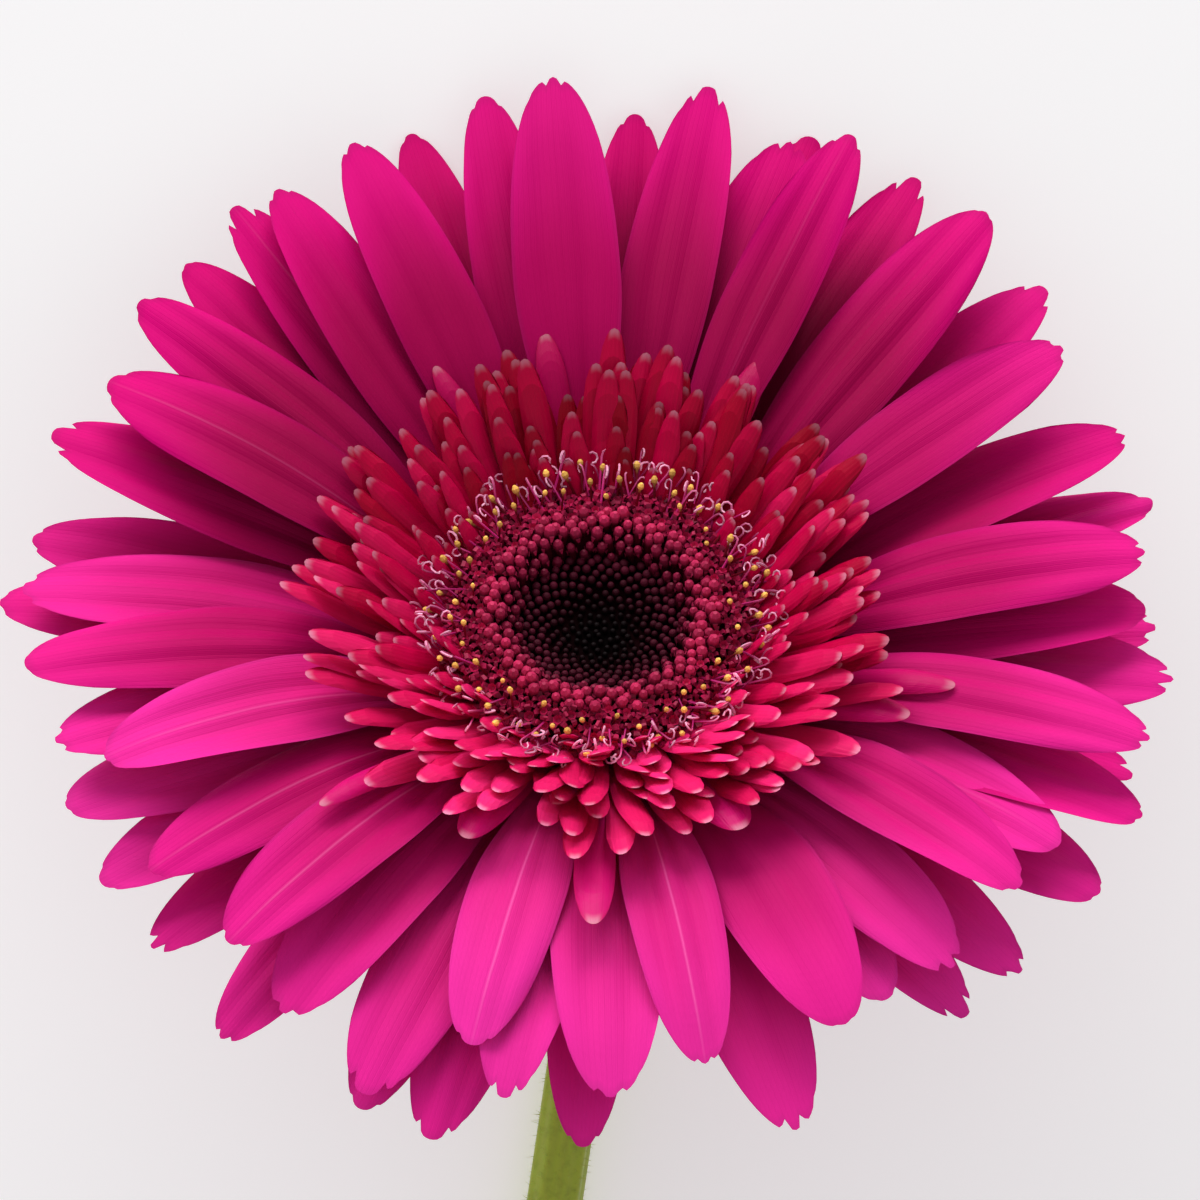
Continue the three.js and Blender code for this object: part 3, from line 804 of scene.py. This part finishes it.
# Tip Color paints the lip pale: partly the florets' own paler tip and partly a painted highlight
floret_skin, long_floret_skin = (
    finish_material(
        name, petal,
        {
            "Root Color": (0.42, 0.0, 0.052, 1), "Blade Color": blade_colour,
            "Tip Color": (1.0, 0.4, 0.56, 1), "Below Color": (0.62, 0.0005, 0.08, 1),
            "Root End": 0.6, "Tip Start": 0.96, "Tip Narrowness": 1.0, "Vein Count": 3.0,
            "Vein Strength": 0.1, "Shine": 0.28,
        },
        bump=0.2, bump_depth=0.1 * MM, Specular_IOR_Level=0.08,
    )
    for name, blade_colour in (
        ("short_floret_skin", (0.88, 0.0003, 0.1, 1)),
        ("long_floret_skin", (0.84, 0.0003, 0.19, 1)),
    )
)
# Count, reach and height as shares of the whorl's, half width, slopes at foot and tip
SHORT_ROWS = {
    "trans_florets_outer": (
        (54, 1.04, 0.97, 1.5 * MM, 0.65, 0.5),
        (52, 0.95, 0.98, 1.45 * MM, 0.8, 0.6),
    ),
    "trans_florets_middle": (
        (48, 1.09, 1.05, 1.4 * MM, 0.85, 0.8),
        (46, 1.0, 1.0, 1.3 * MM, 0.95, 0.9),
    ),
    "trans_florets_inner": (
        (42, 1.16, 1.18, 1.2 * MM, 1.0, 1.1),
        (38, 1.03, 1.06, 1.0 * MM, 1.1, 1.3),
    ),
}
# Degrees round from the right, reach as a share of the whorl's, half width
LONG_FLORETS = (
    (269, 1.24, 1.9 * MM), (343, 1.2, 1.5 * MM), (335, 1.1, 1.7 * MM), (297, 1.0, 2.3 * MM),
    (222, 1.2, 1.2 * MM), (245, 1.02, 2.0 * MM), (100, 1.08, 1.5 * MM), (121, 1.08, 1.3 * MM),
    (60, 1.1, 1.7 * MM),
)


def short_floret(line, half_width, lip=1.1 * MM, along=11, across=7, tone=0.5, skin=floret_skin):
    """A strap that climbs to a spooned tip, whose lip curls up by the given height"""
    return grow(
        "short_floret", guide_line(line), blade, along=along, across=across, half_width=half_width,
        root_share=0.6, widest=0.76, side_reach=0.93, thickness=0.6 * MM, cup=-0.25, channel=0.7, fold=0.0,
        mid_groove=0.0, ruffle=0.0, teeth=0.0, tip_curl=lip, tone=tone, skin=skin,
    )


for turn, (node, shapes) in enumerate(SHORT_ROWS.items()):
    distance, height = head_places(node)
    ring, foot, reach = distance.min(), height.min(), distance.max()
    tip = height[distance > reach - 0.5 * MM].mean()
    rows = []
    for row, (count, out, up, half_width, leave, arrive) in enumerate(shapes):
        one = short_floret(arch(reach * out - ring, tip * up - foot, leave, arrive), half_width)
        rows.append(grow(
            f"{node}_row_{row}", one.data, whorl, count=count, ring=ring, foot=foot,
            turn=0.5 * row + 0.3 * turn, stray=0.05, nod=0.08, roll=0.25, shrink=0.14,
            seed=50 + 20 * turn + 7 * row, skin=floret_skin,
        ))
        bpy.data.objects.remove(one)
    if node == "trans_florets_outer":
        for azimuth, longer, half_width in LONG_FLORETS:
            # Painted shade: long florets on the far side of the head get a lower tone
            tone = 0.4 - 0.2 * math.sin(math.radians(azimuth))
            line = arch(reach * longer - ring, tip * 0.8 - foot, 0.5, 0.1)
            one = short_floret(
                line, half_width, lip=0.4 * MM, along=28, across=15, tone=tone, skin=long_floret_skin,
            )
            about = Matrix.Rotation(math.radians(azimuth), 4, "Z")
            one.data.transform(about @ Matrix.Translation((ring, 0, foot)))
            rows.append(one)
    crown = joined(f"{node}_crown", rows)
    crown.data.transform(HEAD)
    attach(crown, "root")
    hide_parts(node)

# ---------------------------------------------------------------------------------------------------------
# Open disc florets. Plump young florets wall the eye, and tiny open tubes with curled lobes stand round
# them. Golden anthers rise from the outer ones, and pale, thread-thin, curled styles fringe them.

DISC_SIDES = 72
GOLDEN_ANGLE = math.pi * (3 - math.sqrt(5))
LOBE_STEPS = 4
THREAD_SIDES = 4
THREAD_STEPS = 9
THREAD_STRAIGHT = 0.35  # share of a style's length below its curl

# Floret skin: one colour below and one at the tip, with painted shade that darkens it towards the middle of
# the head
knob, asked, result = shader_group(
    "Knob skin",
    {"Low Color": (0.02, 0, 0, 1), "High Color": (0.3, 0.02, 0.05, 1), "Inner Color": (0.005, 0, 0.001, 1),
     "Tip Start": 0.5, "Dark Share": 0.0, "Shine": 0.35},
    {"Color": "Color", "Roughness": "Float", "Height": "Float"},
)
where = knob.add("ShaderNodeSeparateXYZ", {"Vector": remembered(knob, "skin")})
ripe = remembered(knob, "ripe", "Fac")
tone = remembered(knob, "tone", "Fac")
spot = knob.add("ShaderNodeTexCoord", give="Object")
grain = noise(knob, spot, 3500.0, 2.0)
colour = blend_colours(knob, ramp(where, asked["Tip Start"], 1.0), asked["Low Color"], asked["High Color"])
# Painted shade: florets near the middle of the head are darkened towards the inner colour
colour = blend_colours(knob, (1.0 - ripe) * asked["Dark Share"], colour, asked["Inner Color"])
colour = knob.add("ShaderNodeHueSaturation", {"Value": 0.65 + tone * 0.6, "Color": colour})
knob.tree.links.new(colour.socket, result.inputs["Color"])
knob.tree.links.new((asked["Shine"] + grain * 0.2).socket, result.inputs["Roughness"])
knob.tree.links.new(grain.socket, result.inputs["Height"])


def knob_material(
    name, low, high, shine, tip_start, dark_share=0.0, inner=(0.004, 0.0, 0.001, 1), gloss=0.15,
):
    values = {
        "Low Color": low, "High Color": high, "Inner Color": inner, "Tip Start": tip_start,
        "Dark Share": dark_share, "Shine": shine,
    }
    return finish_material(name, knob, values, bump=0.3, bump_depth=0.05 * MM, Specular_IOR_Level=gloss)


def little_post(name, profile, sides, lobes=0, lobe_out=0.0, lobe_drop=0.0, lobe_width=0.0):
    """A small turned post from points of radius and height, with curled lobes round its mouth"""
    low, high = profile[0][1], max(level for _, level in profile)
    shares = [(level - low) / (high - low) for _, level in profile]
    points, faces, told = lathe(profile, shares, sides)
    mouth, brim = max(profile)
    for n in range(lobes):
        start = len(points)
        turn = 2 * math.pi * (n + 0.5) / lobes
        for i in range(LOBE_STEPS):
            t = i / (LOBE_STEPS - 1)
            out = mouth * 0.8 + lobe_out * math.sin(t * math.pi * 0.62)
            level = brim - 0.15 * lobe_drop + lobe_drop * (0.9 * math.sin(t * math.pi) - t * t)
            width = lobe_width * math.sin(math.pi * (0.3 + 0.6 * t))
            for side, lift in ((-1, -0.3), (1, -0.3), (1, 0), (-1, 0)):
                y = side * width / 2
                x, y = out * math.cos(turn) - y * math.sin(turn), out * math.sin(turn) + y * math.cos(turn)
                points.append((x, y, level + lift * lobe_width * 0.4))
                told.append((0.55 + 0.45 * t, 0, 0))
        faces += [tuple(start + corner for corner in face) for face in wound(LOBE_STEPS, 4)]
    return skinned(name, points, faces, told)


# The florets of a disc stand at the golden angle from one to the next, so the rule has no rows
seedhead = Recipe(
    "Seed head", count=100, first=0, spacing=0.5 * MM, low=8.0 * MM, high=10.0 * MM, low_at=0.0,
    high_at=10.0 * MM, splay=0.0, nod=0.15, small=0.6, large=1.0, bob=0.1 * MM, seed=1, skin=None,
)
bob, roll, nod = (seedhead.random(-1.0, 1.0, seedhead["seed"] + n) for n in range(3))
number = seedhead.add("GeometryNodeInputIndex") + seedhead["first"]
angle = number * GOLDEN_ANGLE
stray = seedhead.random(-0.3, 0.3, seedhead["seed"] + 5.0)
far = reckon("SQRT", number) * seedhead["spacing"] + stray * seedhead["spacing"]
grown_up = ramp(far, seedhead["low_at"], seedhead["high_at"])
level = seedhead["low"] + (seedhead["high"] - seedhead["low"]) * grown_up + bob * seedhead["bob"]
spot = seedhead.add("ShaderNodeCombineXYZ", {
    "X": reckon("COSINE", angle) * far, "Y": reckon("SINE", angle) * far, "Z": level,
})
feet = seedhead.add("GeometryNodePoints", {"Count": seedhead["count"], "Position": spot})
pose = seedhead.add("ShaderNodeCombineXYZ", {
    "X": roll * seedhead["nod"], "Y": seedhead["splay"] * grown_up + nod * seedhead["nod"], "Z": angle,
})
size = seedhead["small"] + (seedhead["large"] - seedhead["small"]) * grown_up
size = size * seedhead.random(0.85, 1.15, seedhead["seed"] + 3.0)
about = seedhead.random(-math.pi, math.pi, seedhead["seed"] + 6.0)
spin = seedhead.add("ShaderNodeCombineXYZ", {"Z": about})
facing = seedhead.add("FunctionNodeRotateRotation", {
    "Rotation": seedhead.add("FunctionNodeEulerToRotation", {0: pose}),
    "Rotate By": seedhead.add("FunctionNodeEulerToRotation", {0: spin}),
}, rotation_space="LOCAL")
copies = seedhead.add("GeometryNodeInstanceOnPoints", {
    "Points": feet, "Instance": seedhead["guide"], "Scale": size, "Rotation": facing,
})
copies = seedhead.remember(copies, "tone", seedhead.random(0.0, 1.0, seedhead["seed"] + 4.0), "INSTANCE")
spread = seedhead.add("ShaderNodeSeparateXYZ", {"Vector": seedhead.add("GeometryNodeInputPosition")})
out = reckon("SQRT", spread * spread + spread.beside("Y") * spread.beside("Y"))
# ripe is 0 in the middle of the head and 1 out at the rim: the florets' ripeness and painted light in one
copies = seedhead.remember(copies, "ripe", ramp(out, seedhead["low_at"], seedhead["high_at"]), "INSTANCE")
seedhead.finish(copies)

distance, height = head_places("disc_florets_open")
disc_rim, disc_top = distance.max(), height.max()
eye_rim = head_places("disc_florets_buds")[0].max()
# The bed under the disc florets is nearly black: painted shade in the gaps between them
bed_skin = knob_material("disc_bed", (0.05, 0.0, 0.006, 1), (0.001, 0.0, 0.0002, 1), 0.7, 0.55, gloss=0.02)
bed_profile = [
    (4.8 * MM, 1.0 * MM), (5.3 * MM, 5.0 * MM), (disc_rim * 0.74, disc_top * 0.72),
    (disc_rim * 0.93, disc_top * 0.84), (disc_rim * 0.86, disc_top * 0.92),
    (eye_rim + 1.5 * MM, disc_top * 0.9), (eye_rim + 0.3 * MM, disc_top * 0.7),
    (eye_rim * 0.5, disc_top * 0.6), (0.3 * MM, disc_top * 0.58),
]
bed = turned("disc_bed", HEAD, bed_profile, DISC_SIDES, bed_skin)
# Young and open florets run from near black at the foot, painted shade in the gaps between them, to crimson
# at the top; on the young ones the lighter tops are partly a painted highlight
young_skin = knob_material(
    "young_floret_skin", (0.05, 0.0, 0.006, 1), (0.5, 0.02, 0.09, 1), 0.4, 0.55,
    dark_share=0.75, inner=(0.03, 0.0, 0.005, 1),
)
lobe_skin = knob_material("open_floret_skin", (0.06, 0.0, 0.008, 1), (0.52, 0.012, 0.085, 1), 0.35, 0.4)
anther_skin = knob_material("anther_skin", (0.16, 0.0, 0.01, 1), (1.0, 0.57, 0.12, 1), 0.4, 0.66)
style_skin = knob_material("style_skin", (0.5, 0.015, 0.16, 1), (1.0, 0.5, 0.7, 1), 0.4, 0.15)

young = little_post("young_floret", [
    (0.24 * MM, -1.6 * MM), (0.38 * MM, -0.5 * MM), (0.48 * MM, 0.3 * MM), (0.42 * MM, 0.8 * MM),
    (0.16 * MM, 1.1 * MM),
], 7, lobes=3, lobe_out=0.2 * MM, lobe_drop=0.32 * MM, lobe_width=0.4 * MM)
opened = little_post("open_floret", [
    (0.24 * MM, -1.8 * MM), (0.32 * MM, -0.4 * MM), (0.46 * MM, 0.5 * MM), (0.18 * MM, 0.1 * MM),
], 6, lobes=5, lobe_out=0.62 * MM, lobe_drop=0.5 * MM, lobe_width=0.5 * MM)
anther = little_post("anther", [
    (0.1 * MM, -1.8 * MM), (0.11 * MM, 0.6 * MM), (0.25 * MM, 0.78 * MM), (0.27 * MM, 1.05 * MM),
    (0.12 * MM, 1.28 * MM),
], 7)


def curled_thread(name, height, curl, turns, thickness):
    """A thin thread that stands up to a height and then curls over into an open loop"""
    points, told = [], []
    for i in range(THREAD_STEPS + 1):
        t = i / THREAD_STEPS
        bend = max(0.0, (t - THREAD_STRAIGHT) / (1 - THREAD_STRAIGHT)) * turns * 2 * math.pi
        x = curl * (1 - math.cos(bend))
        z = height * (min(t / THREAD_STRAIGHT, 1.0) - 1.0) + curl * math.sin(bend)
        for j in range(THREAD_SIDES):
            angle = 2 * math.pi * j / THREAD_SIDES
            out, y = thickness / 2 * math.cos(angle), thickness / 2 * math.sin(angle)
            points.append((x + out * math.cos(bend), y, z - out * math.sin(bend)))
            told.append((t, 0, 0))
    return skinned(name, points, wound(THREAD_STEPS + 1, THREAD_SIDES), told)


style = curled_thread("style", height=2.4 * MM, curl=0.4 * MM, turns=0.75, thickness=0.16 * MM)


def seeds_within(radius, spacing):
    """How many florets the rule sets nearer to the axis than this"""
    return int((radius / spacing) ** 2)


def ring_of(name, shape, inner, outer, spacing, **more):
    """Florets between two distances from the head's axis, this far apart"""
    first = seeds_within(inner, spacing)
    count = seeds_within(outer, spacing) - first
    return grow(name, shape, seedhead, first=first, count=count, spacing=spacing, **more)


disc_pieces = [
    bed,
    ring_of(
        "young", young, eye_rim, disc_rim * 0.76, 0.57 * MM, low=disc_top * 0.82, high=disc_top,
        low_at=eye_rim, high_at=eye_rim + 2.2 * MM, splay=0.1, nod=0.25, bob=0.35 * MM,
        small=0.9, large=1.15, seed=301, skin=young_skin,
    ),
    ring_of(
        "opened", opened, disc_rim * 0.72, disc_rim * 0.99, 0.72 * MM, low=disc_top * 0.99,
        high=disc_top * 0.9, low_at=disc_rim * 0.75, high_at=disc_rim, splay=0.7, bob=0.35 * MM,
        small=0.9, large=1.15, seed=311, skin=lobe_skin,
    ),
    ring_of(
        "anthers", anther, disc_rim * 0.84, disc_rim * 1.07, 1.04 * MM, low=disc_top * 1.07,
        high=disc_top * 1.04, low_at=disc_rim * 0.85, high_at=disc_rim, splay=0.7, nod=0.35, bob=0.4 * MM,
        small=0.95, large=1.15, seed=321, skin=anther_skin,
    ),
    ring_of(
        "styles", style, disc_rim * 0.99, disc_rim * 1.2, 0.72 * MM, low=disc_top * 1.06,
        high=disc_top * 1.1, low_at=disc_rim * 0.9, high_at=disc_rim, splay=0.7, nod=0.5, bob=0.5 * MM,
        small=0.9, large=1.25, seed=331, skin=style_skin,
    ),
]
for piece in disc_pieces[1:]:
    piece.data.transform(HEAD)
open_disc = joined("disc_florets_ring", disc_pieces)
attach(open_disc, "root")
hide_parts("disc_florets_open")

# ---------------------------------------------------------------------------------------------------------
# Closed buds. The sunken eye is packed with unopened disc florets, each a smooth round knob, pinkish
# maroon at the rim and painted nearly black in the middle as painted shade, with a painted highlight on
# each knob's tip.

# Painted shade makes the middle buds nearly black, and a painted highlight lightens each knob's tip
bud_skin = knob_material(
    "bud_skin", (0.003, 0.0, 0.0005, 1), (0.08, 0.004, 0.017, 1), 0.45, 0.55,
    dark_share=0.97, inner=(0.0008, 0.0, 0.0002, 1), gloss=0.1,
)
bud = little_post("bud", [
    (0.3 * MM, -1.2 * MM), (0.4 * MM, -0.2 * MM), (0.38 * MM, 0.08 * MM), (0.26 * MM, 0.28 * MM),
    (0.08 * MM, 0.37 * MM),
], 8)
eye = ring_of(
    "disc_florets_eye", bud, 0.0, eye_rim * 1.04, 0.47 * MM, low=disc_top * 0.62, high=disc_top * 0.8,
    low_at=eye_rim * 0.3, high_at=eye_rim, splay=-0.25, nod=0.08, bob=0.06 * MM,
    small=0.75, large=1.05, seed=351, skin=bud_skin,
)
eye.data.transform(HEAD)
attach(eye, "root")
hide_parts("disc_florets_buds")

# ---------------------------------------------------------------------------------------------------------
# Floor, light and camera. A plain pale floor under a large soft light from beyond the head, with pale
# surroundings that fill the shadows. The camera looks down on the head from beside its axis.

FLOOR_SIDE = 6.0
VIEW_FROM_AXIS = math.radians(33.6)  # between the head's axis and the line to the camera
CAMERA_DISTANCE = 0.5
FRAME_SIDE = 0.1122  # width of what the camera sees at the head
AIM_ABOVE_HEAD = 0.0011

floor_mesh = bpy.data.meshes.new("floor")
half = FLOOR_SIDE / 2
floor_corners = [(-half, -half, 0), (half, -half, 0), (half, half, 0), (-half, half, 0)]
floor_mesh.from_pydata(floor_corners, [], [(0, 1, 2, 3)])
floor = placed("floor", floor_mesh)
paper = bpy.data.materials.new("floor_paper")
paper.use_nodes = True
for label, value in {
    "Base Color": (0.82, 0.81, 0.8, 1), "Roughness": 0.9, "Specular IOR Level": 0.1,
    "Emission Color": (1.0, 0.985, 0.985, 1), "Emission Strength": 0.33,
}.items():
    paper.node_tree.nodes["Principled BSDF"].inputs[label].default_value = value
floor_mesh.materials.append(paper)

world = bpy.data.worlds.new("studio")
bpy.context.scene.world = world
world.use_nodes = True
sky = world.node_tree.nodes["Background"]
sky.inputs["Color"].default_value = (0.95, 0.96, 1.0, 1)
sky.inputs["Strength"].default_value = 0.5


def softbox(name, place, aim, width, height, power):
    """A broad lamp that faces what it is aimed at"""
    light = bpy.data.lights.new(name, "AREA")
    light.shape = "RECTANGLE"
    light.size = width
    light.size_y = height
    light.energy = power
    box = placed(name, light)
    box.location = place
    box.rotation_euler = (aim - place).to_track_quat("-Z", "Y").to_euler()


aim = HEAD @ Vector((0, 0, disc_top))
softbox("key_light", aim + Vector((-0.2, 1.05, 0.2)), aim, 1.4, 0.4, 13.5)
softbox("fill_light", aim + Vector((0.3, -0.4, 1.2)), aim, 1.2, 1.2, 1.0)

view_back = (head_axis * math.cos(VIEW_FROM_AXIS) - head_far * math.sin(VIEW_FROM_AXIS)).normalized()
view_up = head_right.cross(view_back) * -1
camera_data = bpy.data.cameras.new("camera")
camera_data.lens = camera_data.sensor_width * CAMERA_DISTANCE / FRAME_SIDE
camera_data.clip_start = 0.01
camera_data.clip_end = 10
camera = placed("camera", camera_data)
camera_place = aim + view_up * AIM_ABOVE_HEAD + view_back * CAMERA_DISTANCE
camera.matrix_world = standing(camera_place, head_right, view_up, view_back)
bpy.context.scene.camera = camera
bpy.context.scene.view_settings.view_transform = "Standard"
